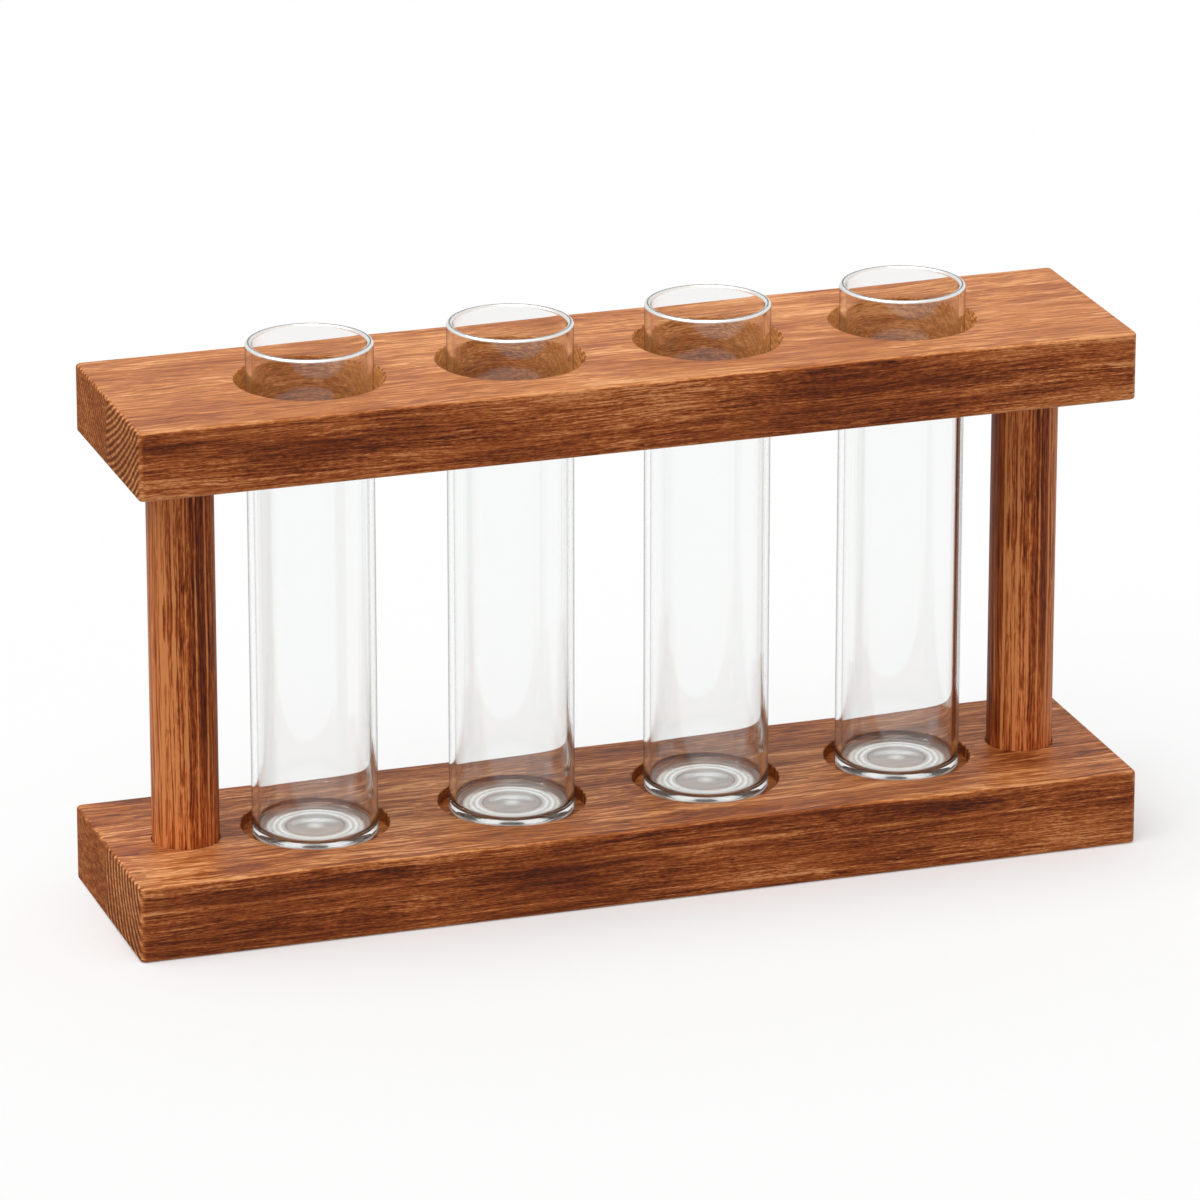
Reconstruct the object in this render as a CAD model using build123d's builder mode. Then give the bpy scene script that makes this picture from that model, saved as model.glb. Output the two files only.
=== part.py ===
"""A test tube vase: four glass tubes that stand in a wooden stand.

The stand is a base board and a top board held apart by two round posts. Each tube drops through a hole in the
top board and stands in a shallow socket in the base board. The posts sit in stopped bores in both boards: glue
holds their upper ends, and a wood screw from below holds each foot.

Millimetres, +Z up. The origin is the middle of the base board's underside. X runs along the row of tubes, and
the front of the stand faces -Y.
"""

import os

from build123d import *

# Glass tubes
tube_count = 4
tube_diameter = 30.0
tube_length = 122.5
tube_wall = 1.5
tube_floor_thickness = 2.4
tube_heel_radius = 2.0
tube_corner_radius = 2.0
tube_rim_bevel = 0.5
tube_punt_diameter = 18.0
tube_punt_rise = 0.6

# Fit of the tubes in the stand
tube_play = 2.7
socket_depth = 3.0
tube_proud = 8.8
mouth_bevel = 0.4

# Wood left round the holes and the posts: between two holes, from a hole to the front edge, from the last hole
# to the post, and from the post to the end
hole_gap = 13.6
hole_front_gap = 11.7
hole_post_gap = 6.1
post_end_gap = 11.2

# Boards
base_thickness = 18.6
top_thickness = 16.7
top_end_setback = 2.0
top_side_setback = 1.0
corner_radius = 1.5
edge_bevel = 0.8

# Posts
post_diameter = 16.0
post_bore_play = 0.2
post_foot_depth = 12.0
post_head_depth = 11.0
post_end_bevel = 0.5

# Wood screws, one up into the foot of each post
screw_length = 30.0
screw_shank_diameter = 4.0
screw_root_diameter = 2.8
screw_head_diameter = 8.0
screw_head_sink = 0.4
screw_tip_length = 5.0
screw_play = 0.2
screw_head_angle = 90
recess_span = 4.4
recess_width = 1.0
recess_depth = 1.5

# Cuts run this far past the surfaces that they open
overrun = 1.0

# Where the middle of a quarter round lies, as a share of its radius in from each of the two faces that it joins
knee_share = 0.29

# Worked out from the sizes above
tube_radius = tube_diameter / 2
tube_bore_radius = tube_radius - tube_wall
hole_radius = tube_radius + tube_play
post_radius = post_diameter / 2
tube_pitch = 2 * hole_radius + hole_gap
row_length = (tube_count - 1) * tube_pitch
post_spacing = row_length + 2 * (hole_radius + hole_post_gap + post_radius)
base_length = post_spacing + 2 * (post_radius + post_end_gap)
base_width = 2 * (hole_radius + hole_front_gap)
top_length = base_length - 2 * top_end_setback
top_width = base_width - 2 * top_side_setback
tube_foot_height = base_thickness - socket_depth
top_height = tube_foot_height + tube_length - tube_proud
top_underside = top_height - top_thickness
post_foot_height = base_thickness - post_foot_depth
post_head_height = top_underside + post_head_depth
tube_places = [(index - (tube_count - 1) / 2) * tube_pitch for index in range(tube_count)]
post_places = [-post_spacing / 2, post_spacing / 2]
screw_point_height = screw_head_sink + screw_length
shank_end_height = post_foot_height - screw_play


# Base board: a flat board with eased edges, four shallow round sockets and two stopped bores in its top, and a
# countersunk screw hole up into each bore
with BuildPart() as base_board:
    with BuildSketch():
        RectangleRounded(base_length, base_width, corner_radius)
    extrude(amount=base_thickness)
    chamfer(base_board.faces().filter_by(Axis.Z).edges(), length=edge_bevel)
    with BuildSketch(Plane.XY.offset(base_thickness)):
        with GridLocations(tube_pitch, 0, tube_count, 1):
            Circle(hole_radius)
    extrude(amount=-socket_depth, mode=Mode.SUBTRACT)
    base_top = base_board.faces().filter_by(Axis.Z).sort_by(Axis.Z)[-1]
    chamfer(base_top.inner_wires().edges(), length=mouth_bevel)
    with BuildSketch(Plane.XY.offset(base_thickness)):
        with GridLocations(post_spacing, 0, 2, 1):
            Circle(post_radius + post_bore_play)
    extrude(amount=-post_foot_depth, mode=Mode.SUBTRACT)
    with Locations(*[Plane((x, 0, screw_head_sink), z_dir=(0, 0, -1)) for x in post_places]):
        CounterSinkHole(
            radius=screw_shank_diameter / 2 + screw_play,
            counter_sink_radius=screw_head_diameter / 2 + screw_play,
            depth=post_foot_height - screw_head_sink + overrun,
            counter_sink_angle=screw_head_angle,
        )
base_board.part.label = "base_board"


# Top board: a slightly smaller and thinner board with four through holes, and two stopped bores in its underside
with BuildPart() as top_board:
    with BuildSketch(Plane.XY.offset(top_underside)):
        RectangleRounded(top_length, top_width, corner_radius)
    extrude(amount=top_thickness)
    chamfer(top_board.faces().filter_by(Axis.Z).edges(), length=edge_bevel)
    with BuildSketch(Plane.XY.offset(top_underside)):
        with GridLocations(tube_pitch, 0, tube_count, 1):
            Circle(hole_radius)
    extrude(amount=top_thickness, mode=Mode.SUBTRACT)
    board_top = top_board.faces().filter_by(Axis.Z).sort_by(Axis.Z)[-1]
    chamfer(board_top.inner_wires().edges(), length=mouth_bevel)
    with BuildSketch(Plane.XY.offset(top_underside)):
        with GridLocations(post_spacing, 0, 2, 1):
            Circle(post_radius + post_bore_play)
    extrude(amount=post_head_depth, mode=Mode.SUBTRACT)
top_board.part.label = "top_board"


def build_post(label, post_x):
    """A round post with bevelled ends and a pilot hole for its screw, centred on x = post_x."""
    with BuildPart() as post:
        with BuildSketch(Plane((post_x, 0, post_foot_height))):
            Circle(post_radius)
        extrude(amount=post_head_height - post_foot_height)
        chamfer(post.edges().filter_by(GeomType.CIRCLE), length=post_end_bevel)
        with Locations(Plane((post_x, 0, post_foot_height), z_dir=(0, 0, -1))):
            Hole(
                radius=screw_root_diameter / 2 + screw_play,
                depth=screw_point_height - post_foot_height + screw_play,
            )
    post.part.label = label
    return post.part


def build_tube(label, tube_x):
    """A straight tube with a bevelled rim, an eased heel and a flat floor over a shallow punt, at x = tube_x."""
    with BuildPart() as tube:
        with BuildSketch(Plane((tube_x, 0, tube_foot_height), x_dir=(1, 0, 0), z_dir=(0, -1, 0))):
            with BuildLine():
                Polyline(
                    (0, tube_punt_rise),
                    (tube_punt_diameter / 2, 0),
                    (tube_radius - tube_heel_radius, 0),
                    (tube_radius - knee_share * tube_heel_radius, knee_share * tube_heel_radius),
                    (tube_radius, tube_heel_radius),
                    (tube_radius, tube_length - tube_rim_bevel),
                    (tube_radius - tube_rim_bevel, tube_length),
                    (tube_bore_radius + tube_rim_bevel, tube_length),
                    (tube_bore_radius, tube_length - tube_rim_bevel),
                    (tube_bore_radius, tube_floor_thickness + tube_corner_radius),
                    (
                        tube_bore_radius - knee_share * tube_corner_radius,
                        tube_floor_thickness + knee_share * tube_corner_radius,
                    ),
                    (tube_bore_radius - tube_corner_radius, tube_floor_thickness),
                    (0, tube_floor_thickness),
                    close=True,
                )
            make_face()
        revolve(axis=Axis((tube_x, 0, 0), (0, 0, 1)))
    tube.part.label = label
    return tube.part


# Screws: two countersunk wood screws, their heads just below the base board's underside
with BuildPart() as base_screws:
    for screw_x in post_places:
        with BuildSketch(Plane((screw_x, 0, screw_head_sink), x_dir=(1, 0, 0), z_dir=(0, -1, 0))):
            with BuildLine():
                Polyline(
                    (0, 0),
                    (screw_head_diameter / 2, 0),
                    (screw_shank_diameter / 2, (screw_head_diameter - screw_shank_diameter) / 2),
                    (screw_shank_diameter / 2, shank_end_height - screw_head_sink),
                    (screw_root_diameter / 2, shank_end_height - screw_head_sink),
                    (screw_root_diameter / 2, screw_length - screw_tip_length),
                    (0, screw_length),
                    close=True,
                )
            make_face()
        revolve(axis=Axis((screw_x, 0, 0), (0, 0, 1)))
        with BuildSketch(Plane((screw_x, 0, screw_head_sink))):
            Rectangle(recess_span, recess_width)
            Rectangle(recess_width, recess_span)
        extrude(amount=recess_depth, mode=Mode.SUBTRACT)
base_screws.part.label = "base_screws"


pieces = [base_board.part, top_board.part, base_screws.part]
pieces += [build_post(label, x) for label, x in zip(("left_post", "right_post"), post_places)]
pieces += [build_tube(f"glass_tube_{number}", x) for number, x in enumerate(tube_places, start=1)]

os.makedirs("parts", exist_ok=True)
for piece in pieces:
    export_step(piece, f"parts/{piece.label}.step")
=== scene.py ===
"""A test tube vase: four clear glass tubes in a stand of oiled, red-brown hardwood.

Sections follow the order in which the stand is put together: base board, posts, top board, screws and glass
tubes. The studio comes last: its floor, light and camera. Metres, +Z up, the row of tubes along X.
"""

import math

import bpy
import numpy as np
from mathutils.geometry import tessellate_polygon
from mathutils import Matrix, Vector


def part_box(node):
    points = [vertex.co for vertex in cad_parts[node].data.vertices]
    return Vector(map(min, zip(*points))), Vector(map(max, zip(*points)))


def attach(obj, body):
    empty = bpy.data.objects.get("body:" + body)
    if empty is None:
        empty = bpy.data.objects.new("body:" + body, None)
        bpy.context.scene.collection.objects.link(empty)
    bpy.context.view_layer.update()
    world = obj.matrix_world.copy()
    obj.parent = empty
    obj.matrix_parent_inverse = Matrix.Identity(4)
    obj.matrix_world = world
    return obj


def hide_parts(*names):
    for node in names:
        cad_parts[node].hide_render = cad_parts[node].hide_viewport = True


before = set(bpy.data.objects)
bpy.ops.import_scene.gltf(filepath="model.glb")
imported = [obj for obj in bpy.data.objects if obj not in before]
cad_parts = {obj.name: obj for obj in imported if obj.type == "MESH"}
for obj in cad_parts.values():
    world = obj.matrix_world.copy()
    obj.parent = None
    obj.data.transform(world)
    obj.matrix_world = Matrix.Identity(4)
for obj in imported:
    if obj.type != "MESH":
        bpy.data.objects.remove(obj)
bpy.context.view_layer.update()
mm = 0.001


# Base board: a planed hardwood board whose edges and corners are eased. Four shallow round sockets hold the
# tubes, and two stopped bores hold the posts. From below, a countersunk screw hole meets each bore.
board_corner_radius = 1.5 * mm
board_edge_radius = 0.8 * mm
mouth_radius = 0.4 * mm
hidden_edge_radius = 0.1 * mm
flat_margin = 0.3 * mm
hole_radius = 17.7 * mm
socket_depth = 3 * mm
socket_corner_radius = 0.3 * mm
post_bore_radius = 8.2 * mm
post_foot_depth = 12 * mm
screw_hole_radius = 2.2 * mm
screw_sink_radius = 4.2 * mm
screw_head_sink = 0.4 * mm
steps_round_hole = 128
steps_round_corner = 8


def rounded_line(corners, radii, steps=6):
    """A line through corners, each turned into an arc, with the direction that its right-hand side faces.

    An arc touches both sides of its corner, so it starts at radius * tan(half the turn) before the corner.
    Its points are its start, turned about its centre in even steps up to the whole turn.
    """
    corners = np.array(corners, float)
    radii = np.array(radii, float)[:, None]
    sides = np.diff(corners, axis=0)
    sides /= np.linalg.norm(sides, axis=1)[:, None]
    facing = np.stack([sides[:, 1], -sides[:, 0]], axis=1)
    before, after = sides[:-1], sides[1:]
    crossed = before[:, 0] * after[:, 1] - before[:, 1] * after[:, 0]
    turn = np.arctan2(crossed, (before * after).sum(1))[:, None]
    start = corners[1:-1] - before * radii * np.tan(abs(turn) / 2)
    centre = start - facing[:-1] * radii * np.sign(turn)
    angle = turn * np.linspace(0, 1, steps + 1)
    cosine, sine = np.cos(angle)[..., None], np.sin(angle)[..., None]
    quarter = np.array([[0, 1], [-1, 0]])
    arm, face = (start - centre)[:, None], facing[:-1][:, None]
    points = centre[:, None] + arm * cosine + (arm @ quarter) * sine
    faces = face * cosine + (face @ quarter) * sine
    points = np.concatenate([corners[:1], points.reshape(-1, 2), corners[-1:]])
    faces = np.concatenate([facing[:1], faces.reshape(-1, 2), facing[-1:]])
    return points, faces


class Shell:
    """A closed surface, gathered patch by patch, with the direction that each of its points faces."""

    def __init__(self):
        self.points = []
        self.facing = []
        self.shares = []
        self.quads = []
        self.triangles = []
        self.count = 0

    def sweep(self, path, outward, profile, share=0.0):
        """Carries a profile of (out, up) points along a closed path in plan.

        A point is path + outward * out, at the height up, and faces outward * (face out) + Z * (face up).
        Share is how far each point of the profile takes the material's second finish. The numbers of the
        points come back as one row for each point of the profile.
        """
        line, faces = profile
        path, outward = np.atleast_2d(path), np.atleast_2d(outward)
        plan = path + outward * line[:, 0, None, None]
        side = outward * faces[:, 0, None, None]
        rows, columns = plan.shape[:2]
        level = np.broadcast_to(line[:, 1, None, None], (rows, columns, 1))
        rise = np.broadcast_to(faces[:, 1, None, None], (rows, columns, 1))
        self.points.append(np.concatenate([plan, level], axis=2).reshape(-1, 3))
        self.facing.append(np.concatenate([side, rise], axis=2).reshape(-1, 3))
        self.shares.append(np.broadcast_to(np.reshape(share, (-1, 1)), (rows, columns)).reshape(-1))
        number = self.count + np.arange(rows * columns).reshape(rows, columns)
        beside = np.roll(number, -1, axis=1)
        self.quads.append(np.stack([number[:-1], beside[:-1], beside[1:], number[1:]], axis=2).reshape(-1, 4))
        self.count += rows * columns
        return number

    def fill(self, loops, facing_up):
        """Fills the flat face between an outer loop and the loops of its holes with triangles."""
        points = np.concatenate(self.points)
        order = np.concatenate(loops)
        flat = tessellate_polygon([points[loop].tolist() for loop in loops])
        triangles = order[np.array(flat)]
        one, two, three = (points[triangles[:, corner]] for corner in range(3))
        upward = np.cross(two - one, three - one)[:, 2] > 0
        turned = upward != facing_up
        triangles[turned] = triangles[turned][:, ::-1]
        self.triangles.append(triangles)

    def piece(self, name, material):
        """Merges the points where patches meet and at the poles, and makes the surface one mesh object."""
        points, facing = np.concatenate(self.points), np.concatenate(self.facing)
        _, first, merged = np.unique(np.round(points, 8), axis=0, return_index=True, return_inverse=True)
        merged = merged.reshape(-1)
        quads = merged[np.concatenate(self.quads)]
        low_pole = quads[:, 0] == quads[:, 1]
        high_pole = quads[:, 2] == quads[:, 3]
        fans = [quads[low_pole][:, [0, 2, 3]], quads[high_pole][:, [0, 1, 2]]]
        faces = quads[~(low_pole | high_pole)].tolist()
        for triangles in fans + [merged[part] for part in self.triangles]:
            faces += triangles.tolist()
        mesh = bpy.data.meshes.new(name)
        mesh.from_pydata(points[first].tolist(), [], faces)
        mesh.shade_smooth()
        mesh.normals_split_custom_set_from_vertices(facing[first].tolist())
        shares = mesh.attributes.new("second_finish", "FLOAT", "POINT")
        shares.data.foreach_set("value", np.concatenate(self.shares)[first].astype(np.float32))
        mesh.materials.append(material)
        made = bpy.data.objects.new(name, mesh)
        bpy.context.scene.collection.objects.link(made)
        return made


def circle(steps):
    """Unit directions once round, anticlockwise from above."""
    angle = np.arange(steps) * 2 * math.pi / steps
    return np.stack([np.cos(angle), np.sin(angle)], axis=1)


def board_outline(low, high):
    """The plan of a board: a quarter circle at each corner. Points and the directions that they face."""
    turns = np.arange(4)[:, None] * math.pi / 2 + np.linspace(0, math.pi / 2, steps_round_corner + 1)
    facing = np.stack([np.cos(turns), np.sin(turns)], axis=2)
    half = np.array([high[0] - low[0], high[1] - low[1]]) / 2 - board_corner_radius
    middle = np.array([high[0] + low[0], high[1] + low[1]]) / 2
    signs = np.array([[1, 1], [-1, 1], [-1, -1], [1, -1]])[:, None]
    return (middle + signs * half + facing * board_corner_radius).reshape(-1, 2), facing.reshape(-1, 2)


def board_shell(low, high):
    """The outside of a board, from just inside its underside round its edge to just inside its top."""
    inset = board_edge_radius + flat_margin
    wall = [(-inset, low[2]), (0, low[2]), (0, high[2]), (-inset, high[2])]
    shell = Shell()
    rings = shell.sweep(*board_outline(low, high), rounded_line(wall, [board_edge_radius] * 2))
    return shell, [rings[0]], [rings[-1]]


def bored(profile, top, bottom):
    """The share of bored finish down a hole: 1 at the points of its wall, 0 at those on the board's faces."""
    height = profile[0][:, 1]
    return ((height < top - mouth_radius / 2) & (height > bottom)).astype(float)


class Signal:
    """An output of a shader node that can be used in sums: each sum adds one Math node."""

    def __init__(self, nodes, socket):
        self.nodes = nodes
        self.socket = socket

    def math(self, operation, *others):
        """The operation on this signal and the others, in that order."""
        return self.nodes.add("ShaderNodeMath", {"operation": operation}, dict(enumerate((self, *others))))

    def __add__(self, other):
        return self.math("ADD", other)

    def __sub__(self, other):
        return self.math("SUBTRACT", other)

    def __rsub__(self, other):
        return self.nodes.add("ShaderNodeMath", {"operation": "SUBTRACT"}, {0: other, 1: self})

    def __mul__(self, other):
        return self.math("MULTIPLY", other)

    def __truediv__(self, other):
        return self.math("DIVIDE", other)

    __radd__ = __add__
    __rmul__ = __mul__


class Nodes:
    """The shader nodes of one material or world, emptied to start with."""

    def __init__(self, owner):
        owner.use_nodes = True
        self.tree = owner.node_tree
        self.tree.nodes.clear()

    def add(self, kind, settings, sockets, output=0):
        """Adds a node, first its settings, then the values or links of its sockets, and gives one output."""
        made = self.tree.nodes.new(kind)
        for name, value in settings.items():
            if name == "stops":
                ramp = made.color_ramp.elements
                for place, colour in value:
                    ramp.new(place).color = (*colour, 1)
                ramp.remove(ramp[0])
                ramp.remove(ramp[-1])
            else:
                setattr(made, name, value)
        for name, value in sockets.items():
            if isinstance(value, Signal):
                self.tree.links.new(value.socket, made.inputs[name])
            else:
                made.inputs[name].default_value = value
        return Signal(self, made.outputs[output]) if made.outputs else None

    def step(self, signal, low, high, top=1.0):
        """0 below low and top above high, with a smooth rise between."""
        sockets = {"Value": signal, "From Min": low, "From Max": high, "To Max": top}
        return self.add("ShaderNodeMapRange", {"interpolation_type": "SMOOTHSTEP"}, sockets)

    def parts(self, vector):
        """The three coordinates of a vector."""
        split = self.add("ShaderNodeSeparateXYZ", {}, {0: vector}).socket.node
        return [Signal(self, output) for output in split.outputs]


wood_tones = [
    (0.02, (0.045, 0.010, 0.004)),
    (0.20, (0.117, 0.025, 0.006)),
    (0.40, (0.231, 0.052, 0.011)),
    (0.60, (0.392, 0.112, 0.027)),
    (0.75, (0.546, 0.185, 0.052)),
    (0.87, (0.690, 0.272, 0.090)),
    (0.98, (0.871, 0.420, 0.175)),
]
side_tint = (1.0, 0.87, 0.82, 1)
post_tint = (1.0, 0.76, 0.60, 1)
# Painted light: a gain above 1 that brightens the colour of bored walls against the shade inside the holes.
bored_painted_light_tint = (1.45, 1.60, 1.52, 1)
# Painted highlight: how much the tone is lifted along the eased edges.
painted_edge_highlight = 0.17
notch_depth = 0.25
vein_depth = 1.1
bored_calm = 0.3
wood_roughness = 0.48
end_roughness = 0.42
pore_depth = 0.1 * mm


def oiled_wood(name, turn, shift, size, staves, levels, contrasts, seam_strength, lean=None):
    """Oiled hardwood, the same all through its thickness, with the grain along the turned X axis.

    Size stretches the grain along X, Y and Z. Staves gives, in mm, where the middle of the growth rings lies
    in the front stave and in the back one, where the two are glued together and the gap between two rings,
    and how much fainter the back stave's rings are. A tone of 0 to 1 picks the colour. It is a level for each
    kind of face (top, side, end, and a step for bored walls), plus a contrast for it times the sum of
    streaks, patches, veins and light seams on faces along the grain, or of growth rings on the ends. Lean,
    for a post, is how much paler one side is, and between which two places across it, in mm, that starts.
    """
    material = bpy.data.materials.new(name)
    nodes = Nodes(material)
    add, step = nodes.add, nodes.step
    place = add("ShaderNodeTexCoord", {}, {}, "Object")
    facing = add("ShaderNodeTexCoord", {}, {}, "Normal")
    in_mm = {"Vector": place, "Rotation": turn, "Scale": (1000, 1000, 1000), "Location": shift}
    point = add("ShaderNodeMapping", {}, in_mm)
    face = add("ShaderNodeMapping", {}, {"Vector": facing, "Rotation": turn})
    drilled = add("ShaderNodeAttribute", {"attribute_name": "second_finish"}, {}, "Fac")

    def noise(vector, along, across, detail=1, rough=0.5, output="Fac"):
        """Noise whose blobs are as long and as wide as given, in millimetres, times the grain's size."""
        blob = (along * size[0], across * size[1], across * size[2])
        part = add("ShaderNodeVectorMath", {"operation": "DIVIDE"}, {0: vector, 1: blob})
        sockets = {"Vector": part, "Scale": 1.0, "Detail": detail, "Roughness": rough}
        return add("ShaderNodeTexNoise", {}, sockets, output)

    def moved(vector, along, across, reach):
        """The point moved across the grain by (a noise's colour - 0.5) * reach."""
        cloud = noise(vector, along, across, output="Color")
        middle = add("ShaderNodeVectorMath", {"operation": "SUBTRACT"}, {0: cloud, 1: (0.5, 0.5, 0.5)})
        sockets = {0: middle, 1: (0, reach * size[1], reach * size[2]), 2: vector}
        return add("ShaderNodeVectorMath", {"operation": "MULTIPLY_ADD"}, sockets)

    face_x, face_y, face_z = nodes.parts(face)
    end = face_x * face_x
    side = face_y * face_y
    # Painted highlight: a mask that is 1 where an eased edge turns between a flat face and an upright one,
    # top and bottom edges alike, and along the boards' upright corners outside the bores.
    slant_highlight_mask = face_z * face_z * (1 - face_z * face_z) * 4
    painted_highlight_mask = slant_highlight_mask + end * side * 4 * (1 - drilled)

    (front_y, front_z), (back_y, back_z), joint, ring_gap, back_fade = staves
    _, across, up = nodes.parts(moved(moved(point, 110, 30, 3), 12, 4, 0.45))
    back = across.math("GREATER_THAN", joint)
    ring_y = across - front_y - back * (back_y - front_y)
    ring_z = up - front_z - back * (back_z - front_z)
    ring = (ring_y * ring_y + ring_z * ring_z).math("SQRT") / ring_gap
    phase = ring.math("FRACT")
    late = step(phase, 0.10, 0.38) - step(phase, 0.60, 0.92)
    chance = add("ShaderNodeTexWhiteNoise", {"noise_dimensions": "1D"}, {"W": ring.math("FLOOR")})
    seam = (step(phase, 0.36, 0.46) - step(phase, 0.54, 0.64)) * step(chance, 0.45, 0.75)

    wavy = moved(moved(moved(point, 80, 26, 8), 15, 4.5, 1.9), 6, 2.2, 0.7)
    grain = noise(wavy, 34, 2.6, 5, 0.62) - 0.5
    band = noise(wavy, 45, 8) - 0.5
    patch = noise(point, 80, 26) - 0.5
    speck = noise(wavy, 1.5, 0.7, 2, 0.6) - 0.5
    busy = noise(point, 38, 11) + 0.4
    streak = step(noise(wavy, 22, 1.0, 2, 0.6), 0.38, 0.62) - 0.5
    fine = step(noise(wavy, 8, 0.5, 1), 0.36, 0.64) - 0.5
    vein = step(noise(wavy, 24, 0.8, 1), 0.60, 0.67)
    pores = (streak * 1.3 + fine * 1.5 + speck * (1.4 + side * 4.6)) * busy
    broad = grain * 4.4 + band * 3.6 + patch * (2.0 + side * 3.5)
    along = broad + pores - vein * vein_depth + seam * seam_strength
    mottle = step(noise(point, 8, 1.6, 2, 0.6), 0.36, 0.64) - 0.5
    rings = (0.5 - late) * (2.4 - back * back_fade) * (1 - drilled * 0.4)
    through = rings + fine * 0.8 + mottle * 0.9 + grain * 2 + patch * 2

    top_level, side_level, end_level, bored_step = levels
    top_contrast, side_contrast, end_contrast = contrasts
    level = top_level + (side_level - top_level) * side + (end_level - top_level) * end
    contrast = top_contrast + (side_contrast - top_contrast) * side + (end_contrast - top_contrast) * end
    notch = end * face_z * face_z * 4 * late
    figure = contrast * (along + (through - along) * end) * (1 - drilled * bored_calm)
    # The tone takes the painted edge highlight, and the bored walls' step.
    tone = level + figure + painted_highlight_mask * painted_edge_highlight - notch * notch_depth + drilled * bored_step
    if lean:
        tone = tone + step(up, lean[1], lean[2]) * lean[0]
    plain = add("ShaderNodeValToRGB", {"stops": wood_tones}, {"Fac": tone}, "Color")
    multiply = {"data_type": "RGBA", "blend_type": "MULTIPLY"}
    tint = {"A": plain, "Factor": 1.0 if lean else side, "B": post_tint if lean else side_tint}
    tinted = add("ShaderNodeMix", multiply, tint, "Result")
    # Painted light on bored walls: their colour is multiplied up by the bored tint.
    colour = add("ShaderNodeMix", multiply, {"Factor": drilled, "A": tinted, "B": bored_painted_light_tint}, "Result")
    relief = fine * 0.4 + streak * 0.3 - vein * 0.4
    bump = add("ShaderNodeBump", {}, {"Strength": 0.5, "Distance": pore_depth, "Height": relief})
    shine = wood_roughness + fine * 0.1 + end * end_roughness
    sockets = {"Base Color": colour, "Roughness": shine, "Normal": bump, "Specular IOR Level": 0.16}
    surface = add("ShaderNodeBsdfPrincipled", {}, sockets)
    add("ShaderNodeOutputMaterial", {}, {"Surface": surface})
    return material


flat_turn, no_shift = (0, 0, 0), (0, 0, 0)
board_grain = (1.0, 1.3, 0.45)
board_layout = (flat_turn, no_shift, board_grain)
base_staves = ((-36, 19), (40, 80), 1.4, 2.7, 2.1)
base_levels, base_contrasts = (0.70, 0.51, 0.60, -0.13), (0.175, 0.165, 0.210)
base_seams = 1.2
base_wood = oiled_wood("base_wood", *board_layout, base_staves, base_levels, base_contrasts, base_seams)

base_low, base_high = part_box("base_board")
tube_names = [f"glass_tube_{number}" for number in range(1, 5)]
tube_boxes = [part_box(name) for name in tube_names]
tube_places = [(low[0] + high[0]) / 2 for low, high in tube_boxes]
post_boxes = {name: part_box(name) for name in ("left_post", "right_post")}
post_places = [(low[0] + high[0]) / 2 for low, high in post_boxes.values()]

base, under_loops, top_loops = board_shell(base_low, base_high)
socket_floor = base_high[2] - socket_depth
socket_line = [
    (hole_radius + mouth_radius + flat_margin, base_high[2]),
    (hole_radius, base_high[2]),
    (hole_radius, socket_floor),
    (0, socket_floor),
]
bore_floor = base_high[2] - post_foot_depth
sink_end = screw_head_sink + screw_sink_radius - screw_hole_radius
bore_line = [
    (post_bore_radius + flat_margin, base_high[2]),
    (post_bore_radius, base_high[2]),
    (post_bore_radius, bore_floor),
    (screw_hole_radius, bore_floor),
    (screw_hole_radius, sink_end),
    (screw_sink_radius, screw_head_sink),
    (screw_sink_radius, base_low[2]),
    (screw_sink_radius + flat_margin, base_low[2]),
]
for place in tube_places:
    profile = rounded_line(socket_line, [mouth_radius, socket_corner_radius])
    share = bored(profile, base_high[2], base_low[2])
    top_loops.append(base.sweep((place, 0), circle(steps_round_hole), profile, share)[0])
for place in post_places:
    profile = rounded_line(bore_line, [hidden_edge_radius] * 6)
    share = bored(profile, base_high[2], base_low[2])
    rings = base.sweep((place, 0), circle(steps_round_hole // 2), profile, share)
    top_loops.append(rings[0])
    under_loops.append(rings[-1])
base.fill(top_loops, True)
base.fill(under_loops, False)
base_piece = base.piece("planed_base_board", base_wood)
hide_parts("base_board")
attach(base_piece, "stand")


# Posts: two hardwood dowels with bevelled ends. Their heads are glued into the top board's bores, and their
# feet are screwed from below, so each has a pilot hole up its foot.
post_end_radius = 0.5 * mm
pilot_radius = 1.6 * mm
pilot_depth = 24.0 * mm
upright_turn = (0, math.pi / 2, 0)
post_grain = (1.9, 0.6, 0.6)
post_staves = ((0, 200), (0, 200), 100, 2.6, 0)
post_contrasts = (0.20, 0.20, 0.12)
post_seams = 2.2
post_looks = {
    "left_post": ((0.51, 0.51, 0.56, 0), (0.32, 4.8, 7.3)),
    "right_post": ((0.71, 0.71, 0.56, 0), (-0.18, -5, -1)),
}
for name, (low, high) in post_boxes.items():
    centre, radius = (low[0] + high[0]) / 2, (high[0] - low[0]) / 2
    post_shift = (0, 0, centre * 1000)
    post_levels, post_lean = post_looks[name]
    post_layout = (upright_turn, post_shift, post_grain, post_staves)
    post_wood = oiled_wood(f"{name}_wood", *post_layout, post_levels, post_contrasts, post_seams, post_lean)
    pilot_end = low[2] + pilot_depth
    post_line = [
        (0, pilot_end),
        (pilot_radius, pilot_end),
        (pilot_radius, low[2]),
        (radius, low[2]),
        (radius, high[2]),
        (0, high[2]),
    ]
    radii = [hidden_edge_radius, hidden_edge_radius, post_end_radius, post_end_radius]
    post = Shell()
    post.sweep((centre, 0), circle(steps_round_hole), rounded_line(post_line, radii))
    post_piece = post.piece(f"turned_{name}", post_wood)
    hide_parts(name)
    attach(post_piece, "stand")


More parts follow.
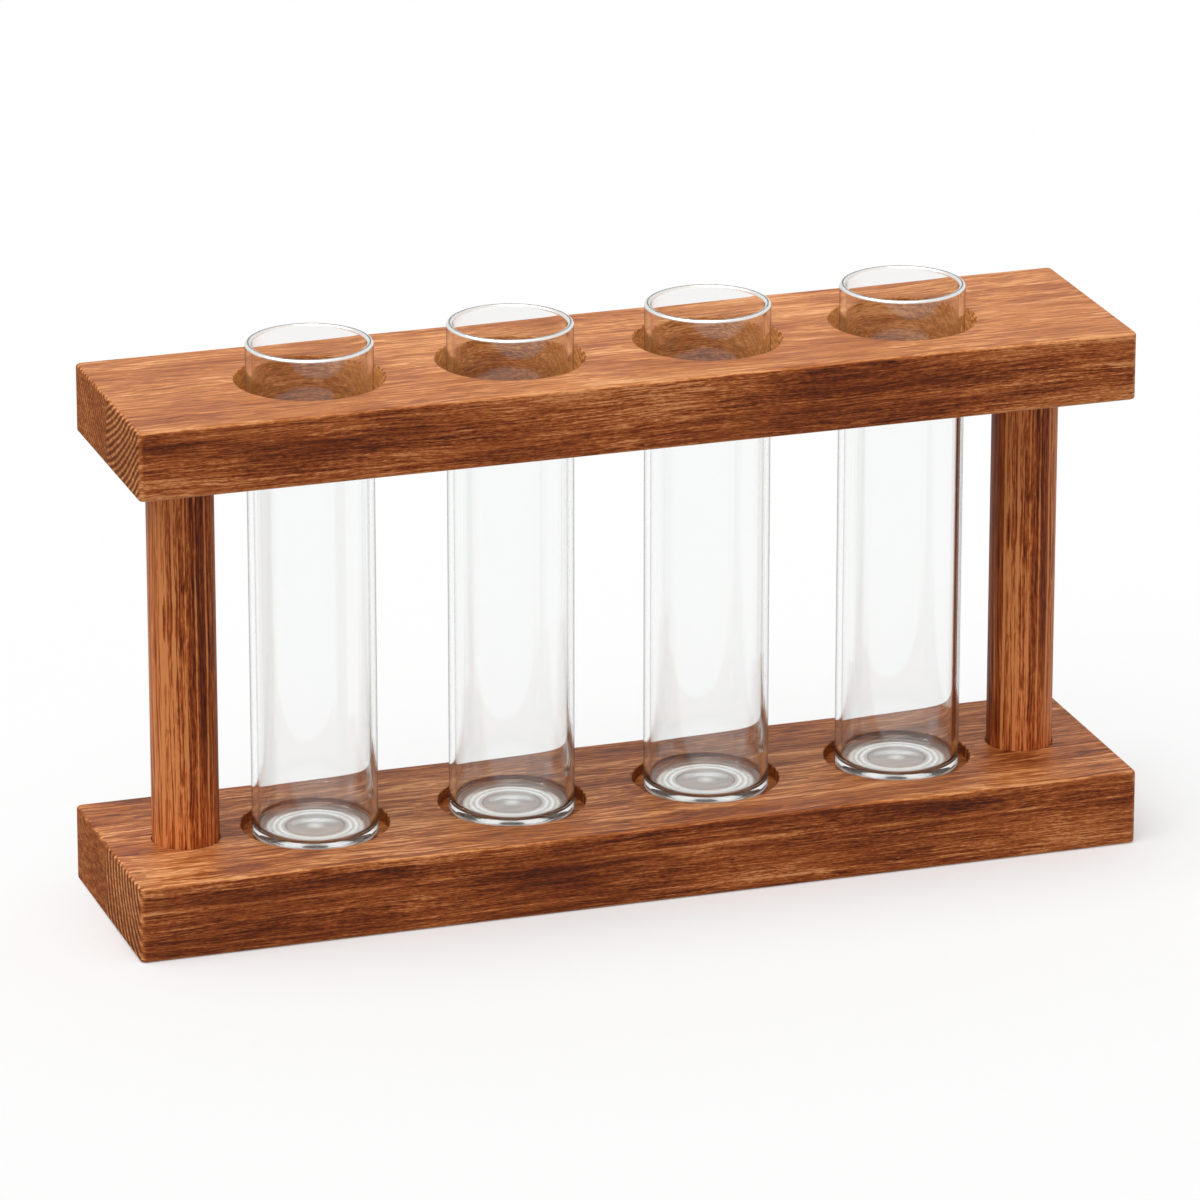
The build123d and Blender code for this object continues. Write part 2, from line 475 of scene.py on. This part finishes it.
# Top board: the same hardwood, planed a little smaller and thinner. Four round holes go right through it, and
# two stopped bores in its underside take the posts' heads.
post_head_depth = 11 * mm
top_staves = ((25.5, 179), (-35, 165), 0.0, 1.65, 1.4)
top_levels, top_contrasts = (0.765, 0.595, 0.63, 0.14), (0.125, 0.175, 0.200)
top_seams = 0.4
top_wood = oiled_wood("top_wood", *board_layout, top_staves, top_levels, top_contrasts, top_seams)

top_low, top_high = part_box("top_board")
top, under_loops, top_loops = board_shell(top_low, top_high)
hole_line = [
    (hole_radius + mouth_radius + flat_margin, top_high[2]),
    (hole_radius, top_high[2]),
    (hole_radius, top_low[2]),
    (hole_radius + flat_margin, top_low[2]),
]
head_bore_end = top_low[2] + post_head_depth
head_bore_line = [
    (0, head_bore_end),
    (post_bore_radius, head_bore_end),
    (post_bore_radius, top_low[2]),
    (post_bore_radius + flat_margin, top_low[2]),
]
for place in tube_places:
    profile = rounded_line(hole_line, [mouth_radius, hidden_edge_radius])
    share = bored(profile, top_high[2], top_low[2])
    rings = top.sweep((place, 0), circle(steps_round_hole), profile, share)
    top_loops.append(rings[0])
    under_loops.append(rings[-1])
for place in post_places:
    profile = rounded_line(head_bore_line, [hidden_edge_radius] * 2)
    share = bored(profile, top_high[2], top_low[2])
    under_loops.append(top.sweep((place, 0), circle(steps_round_hole // 2), profile, share)[-1])
top.fill(top_loops, True)
top.fill(under_loops, False)
top_piece = top.piece("planed_top_board", top_wood)
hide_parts("top_board")
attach(top_piece, "stand")


# Screws: two zinc-plated wood screws, driven up through the base board into the posts. Only their heads show,
# and only from below.
zinc_tones = [(0.3, (0.38, 0.38, 0.37)), (0.7, (0.62, 0.62, 0.60))]
zinc_steel = bpy.data.materials.new("zinc_steel")
zinc = Nodes(zinc_steel)
zinc_place = zinc.add("ShaderNodeTexCoord", {}, {}, "Object")
zinc_grain = zinc.add("ShaderNodeTexNoise", {}, {"Vector": zinc_place, "Scale": 900, "Detail": 4})
zinc_colour = zinc.add("ShaderNodeValToRGB", {"stops": zinc_tones}, {"Fac": zinc_grain}, "Color")
zinc_bump = zinc.add("ShaderNodeBump", {}, {"Strength": 0.15, "Distance": 0.05 * mm, "Height": zinc_grain})
zinc_shine = 0.25 + zinc_grain * 0.25
zinc_sockets = {"Base Color": zinc_colour, "Metallic": 1.0, "Roughness": zinc_shine, "Normal": zinc_bump}
zinc_surface = zinc.add("ShaderNodeBsdfPrincipled", {}, zinc_sockets)
zinc.add("ShaderNodeOutputMaterial", {}, {"Surface": zinc_surface})
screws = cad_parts["base_screws"]
screws.data.materials.clear()
screws.data.materials.append(zinc_steel)


# Glass tubes: clear, straight-walled, with a fire-polished rim and a thick pressed base that is hollowed
# underneath. Each drops through its hole and stands loose in its socket.
tube_wall = 1.5 * mm
tube_floor_thickness = 2.4 * mm
heel_radius = 1.9 * mm
inner_corner_radius = 2.0 * mm
rim_radius = 0.74 * mm
punt_radius = 9.0 * mm
punt_rise = 0.6 * mm
steps_round_tube = 256
steps_round_edge = 12

ring_start = 6.9 * mm
ring_end = 12.2 * mm
ring_gap = 1.4 * mm
ripple_height = 0.03 * mm
steps_over_base = 64

rim_gloss = 0.75
heel_cast = 0.42
heel_top = 2.3 * mm
ring_gloss = 0.76
ring_swing = 0.24
disc_gloss = 0.32
pip_gloss = 0.6
pip_radius = 2.6 * mm
# Painted shade at the tubes' edges: where it starts as the walls are seen edge-on, and how much of it there
# is.
painted_edge_start = 0.70
painted_edge_depth = 0.65

clear_glass = bpy.data.materials.new("clear_glass")
glass = Nodes(clear_glass)
glass_share = glass.add("ShaderNodeAttribute", {"attribute_name": "second_finish"}, {}, "Fac")
glass_gloss = glass_share.math("MAXIMUM", 0)
glass_cast = (0 - glass_share).math("MAXIMUM", 0)
glass_tint = (0.972, 0.978, 0.974, 1)
glass_sockets = {"Base Color": glass_tint, "Roughness": 0.0, "IOR": 1.5, "Transmission Weight": 1.0}
glass_clear = glass.add("ShaderNodeBsdfPrincipled", {}, glass_sockets)
gloss_sockets = {"Color": (0.96, 0.97, 0.95, 1), "Roughness": 0.2}
glass_bright = glass.add("ShaderNodeBsdfAnisotropic", {}, gloss_sockets)
# Painted shade: a dark diffuse finish that stands in for the darker reflections where the glass is seen
# edge-on.
glass_painted_edge_shade = glass.add("ShaderNodeBsdfDiffuse", {}, {"Color": (0.16, 0.14, 0.12, 1)})
glass_pale = glass.add("ShaderNodeBsdfDiffuse", {}, {"Color": (0.97, 0.99, 0.94, 1)})
glass_glossy = glass.add("ShaderNodeMixShader", {}, {0: glass_gloss, 1: glass_clear, 2: glass_bright})
glass_body = glass.add("ShaderNodeMixShader", {}, {0: glass_cast, 1: glass_glossy, 2: glass_pale})
# The painted edge shade comes in at grazing angles, on walls that are neither glossy nor cast.
glass_angle = glass.add("ShaderNodeLayerWeight", {}, {"Blend": 0.5}, "Facing")
glass_painted_grazing = glass.step(glass_angle, painted_edge_start, 1.0, painted_edge_depth)
glass_facing = glass.add("ShaderNodeTexCoord", {}, {}, "Normal")
glass_rise = glass.parts(glass_facing)[2]
glass_painted_edge_share = glass_painted_grazing * (1 - glass_rise * glass_rise) * (1 - glass_gloss - glass_cast)
glass_mix = glass.add("ShaderNodeMixShader", {}, {0: glass_painted_edge_share, 1: glass_body, 2: glass_painted_edge_shade})
glass.add("ShaderNodeOutputMaterial", {}, {"Surface": glass_mix})


def pressed_line(end, height, facing_up):
    """A line from the axis out to end, with the fine round ripples of pressed glass between its rings' edges.

    To the height, given at each of its points, it adds ripple height * (1 - cos(2 pi r / ring gap)) / 2
    between the rings' start and end, faded in and out over one gap. The direction that it faces comes from
    its slope.
    """
    out = np.linspace(0, end, steps_over_base)
    fade = np.clip((out - ring_start) / ring_gap, 0, 1) * np.clip((ring_end - out) / ring_gap, 0, 1)
    up = height(out) + ripple_height * (1 - np.cos(out * 2 * math.pi / ring_gap)) / 2 * fade
    slope = np.gradient(up, out)
    slope[0] = 0
    facing = np.stack([slope, -np.ones_like(slope)], axis=1)
    facing /= np.linalg.norm(facing, axis=1)[:, None]
    return np.stack([out, up], axis=1), -facing if facing_up else facing


def punt(out):
    """The hollow under the base: its rise * (1 - (r / its radius) squared) squared."""
    return punt_rise * np.clip(1 - (out / punt_radius) ** 2, 0, None) ** 2


def finish_share(profile, foot, rim, bore):
    """The second finish along a tube's profile: above 0 bright gloss, and below 0 a pale cast.

    The rim is glossy where it slants up, on both sides, and the thick heel has the cast. The floor inside has
    glossy rings, ring gloss + ring swing * cos(2 pi r / ring gap) between the rings' start and end, round a
    duller disc with a spot of light at its middle.
    """
    (out, up), (face_out, face_up) = profile[0].T, profile[1].T
    floor = foot + tube_floor_thickness
    inside = (up > floor - 0.1 * mm) & (up < floor + inner_corner_radius) & (out < bore)
    at_rim = (up > rim - rim_radius) * np.clip((0.7 * face_up + 0.7 * abs(face_out) - 0.76) / 0.15, 0, 1)
    at_heel = (up < foot + heel_radius + flat_margin) * (out > bore) * np.clip(face_out / 0.5, 0, 1)
    ringed = np.clip((out - ring_start) / (ring_gap / 2), 0, 1) * np.clip((ring_end - out) / ring_gap, 0, 1)
    rings = ringed * (ring_gloss + ring_swing * np.cos(out * 2 * math.pi / ring_gap))
    disc = disc_gloss * (out < ring_start)
    pip = pip_gloss * np.clip(1 - out / pip_radius, 0, 1)
    return np.clip(rim_gloss * at_rim + inside * (rings + disc + pip), 0, 1) - heel_cast * at_heel


for number, (name, (low, high)) in enumerate(zip(tube_names, tube_boxes), start=1):
    centre, radius = (low[0] + high[0]) / 2, (high[0] - low[0]) / 2
    bore = radius - tube_wall
    floor = low[2] + tube_floor_thickness
    tube_line = [
        (radius - heel_radius - flat_margin, low[2]),
        (radius, low[2]),
        (radius, high[2]),
        (bore, high[2]),
        (bore, floor),
        (bore - inner_corner_radius - flat_margin, floor),
    ]
    radii = [heel_radius, rim_radius, rim_radius, inner_corner_radius]
    underside = pressed_line(tube_line[0][0] - flat_margin, lambda out: low[2] + punt(out), False)
    inside_floor = pressed_line(tube_line[-1][0] - flat_margin, lambda out: floor + 0 * out, True)
    outside = rounded_line(tube_line, radii, steps_round_edge)
    after_heel = steps_round_edge + 2
    cast_end = ((radius, low[2] + heel_top), (1, 0))
    outside = [np.insert(part, after_heel, value, axis=0) for part, value in zip(outside, cast_end)]
    lines = [underside, outside, [part[::-1] for part in inside_floor]]
    profile = [np.concatenate(part) for part in zip(*lines)]
    tube = Shell()
    tube.sweep((centre, 0), circle(steps_round_tube), profile, finish_share(profile, low[2], high[2], bore))
    tube_piece = tube.piece(f"clear_tube_{number}", clear_glass)
    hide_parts(name)
    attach(tube_piece, f"tube_{number}")


# Studio: a white floor that keeps the stand's soft shadow in front and on the left, and glows more behind the
# stand and to its right, painted light that fades its shadow out there; light from all round, one large soft
# light high in front on the left, and a small bright one behind on the left for the glints in the glass.
floor_reach = 6.0
floor_gap = 0.05 * mm
floor_glow_share = 0.15
# Painted light: how much more the floor glows behind the stand and to its right.
floor_painted_light_behind = 0.60
floor_painted_light_right = 0.60
behind_start, behind_end = -30 * mm, 50 * mm
right_start, right_end = 100 * mm, 170 * mm
sky_level = 0.42
key_level = 2.0
key_spread = math.radians(60)
key_height = math.radians(68)
key_side = math.radians(55)
glint_level = 0.9
glint_spread = math.radians(12)
glint_height = math.radians(50)
glint_side = math.radians(110)


def seen_rays(nodes):
    """1 for the rays from the camera and for those that gloss and glass send on, else 0."""
    rays = nodes.add("ShaderNodeLightPath", {}, {}).socket.node
    kinds = [Signal(nodes, rays.outputs[f"Is {kind} Ray"]) for kind in ("Camera", "Glossy", "Transmission")]
    return kinds[0].math("MAXIMUM", kinds[1]).math("MAXIMUM", kinds[2])


floor_white = bpy.data.materials.new("studio_floor")
floor_nodes = Nodes(floor_white)
white = floor_nodes.add("ShaderNodeBsdfDiffuse", {}, {"Color": (0.98, 0.98, 0.98, 1)})
glow = floor_nodes.add("ShaderNodeEmission", {}, {"Color": (1, 1, 1, 1), "Strength": 1.0})
grey = floor_nodes.add("ShaderNodeBsdfDiffuse", {}, {"Color": (0.38, 0.38, 0.38, 1)})
floor_place = floor_nodes.add("ShaderNodeTexCoord", {}, {}, "Object")
floor_x, floor_y, _ = floor_nodes.parts(floor_place)
# Painted light: the floor's glow rises behind the stand and to its right, fading out the stand's shadow
# there.
behind = floor_nodes.step(floor_y, behind_start, behind_end, floor_painted_light_behind)
rightward = floor_nodes.step(floor_x, right_start, right_end, floor_painted_light_right)
floor_glow = floor_glow_share + behind.math("MAXIMUM", rightward)
lit = floor_nodes.add("ShaderNodeMixShader", {}, {0: floor_glow, 1: white, 2: glow})
shown = floor_nodes.add("ShaderNodeMixShader", {}, {0: seen_rays(floor_nodes), 1: grey, 2: lit})
floor_nodes.add("ShaderNodeOutputMaterial", {}, {"Surface": shown})
floor_mesh = bpy.data.meshes.new("studio_floor")
corner_signs = np.array([[-1, -1, 0], [1, -1, 0], [1, 1, 0], [-1, 1, 0]])
floor_corners = corner_signs * floor_reach - np.array([0, 0, floor_gap])
floor_mesh.from_pydata(floor_corners.tolist(), [], [(0, 1, 2, 3)])
floor_mesh.materials.append(floor_white)
floor_piece = bpy.data.objects.new("studio_floor", floor_mesh)
bpy.context.scene.collection.objects.link(floor_piece)

world = bpy.data.worlds.new("studio")
bpy.context.scene.world = world
sky_nodes = Nodes(world)
sky_strength = sky_level + seen_rays(sky_nodes) * (1 - sky_level)
sky = sky_nodes.add("ShaderNodeBackground", {}, {"Color": (1, 1, 1, 1), "Strength": sky_strength})
sky_nodes.add("ShaderNodeOutputWorld", {}, {"Surface": sky})


def far_lamp(name, level, spread, height, side):
    """A lamp far away, at a height above the floor and a side turned to the left of the front."""
    light = bpy.data.lights.new(name, "SUN")
    light.energy = level
    light.angle = spread
    lamp = bpy.data.objects.new(name, light)
    lamp.rotation_euler = (math.pi / 2 - height, 0, -side)
    bpy.context.scene.collection.objects.link(lamp)
    return lamp


far_lamp("key", key_level, key_spread, key_height, key_side)
glint = far_lamp("glint", glint_level, glint_spread, glint_height, glint_side)
glint.visible_diffuse = False


# Camera: level from side to side, with a long lens, to the left in front of the stand and above it. It is
# placed for the photograph's angle.
camera_place = (-0.56307, -1.68947, 0.69029)
camera_turn = 0.32048
camera_dip = 0.33702
camera_lens = 237.84
camera_sensor = 36
camera = bpy.data.objects.new("camera", bpy.data.cameras.new("camera"))
camera.location = camera_place
camera.rotation_euler = (math.pi / 2 - camera_dip, 0, -camera_turn)
camera.data.lens = camera_lens
camera.data.sensor_width = camera_sensor
bpy.context.scene.collection.objects.link(camera)
bpy.context.scene.camera = camera
bpy.context.scene.view_settings.view_transform = "Standard"
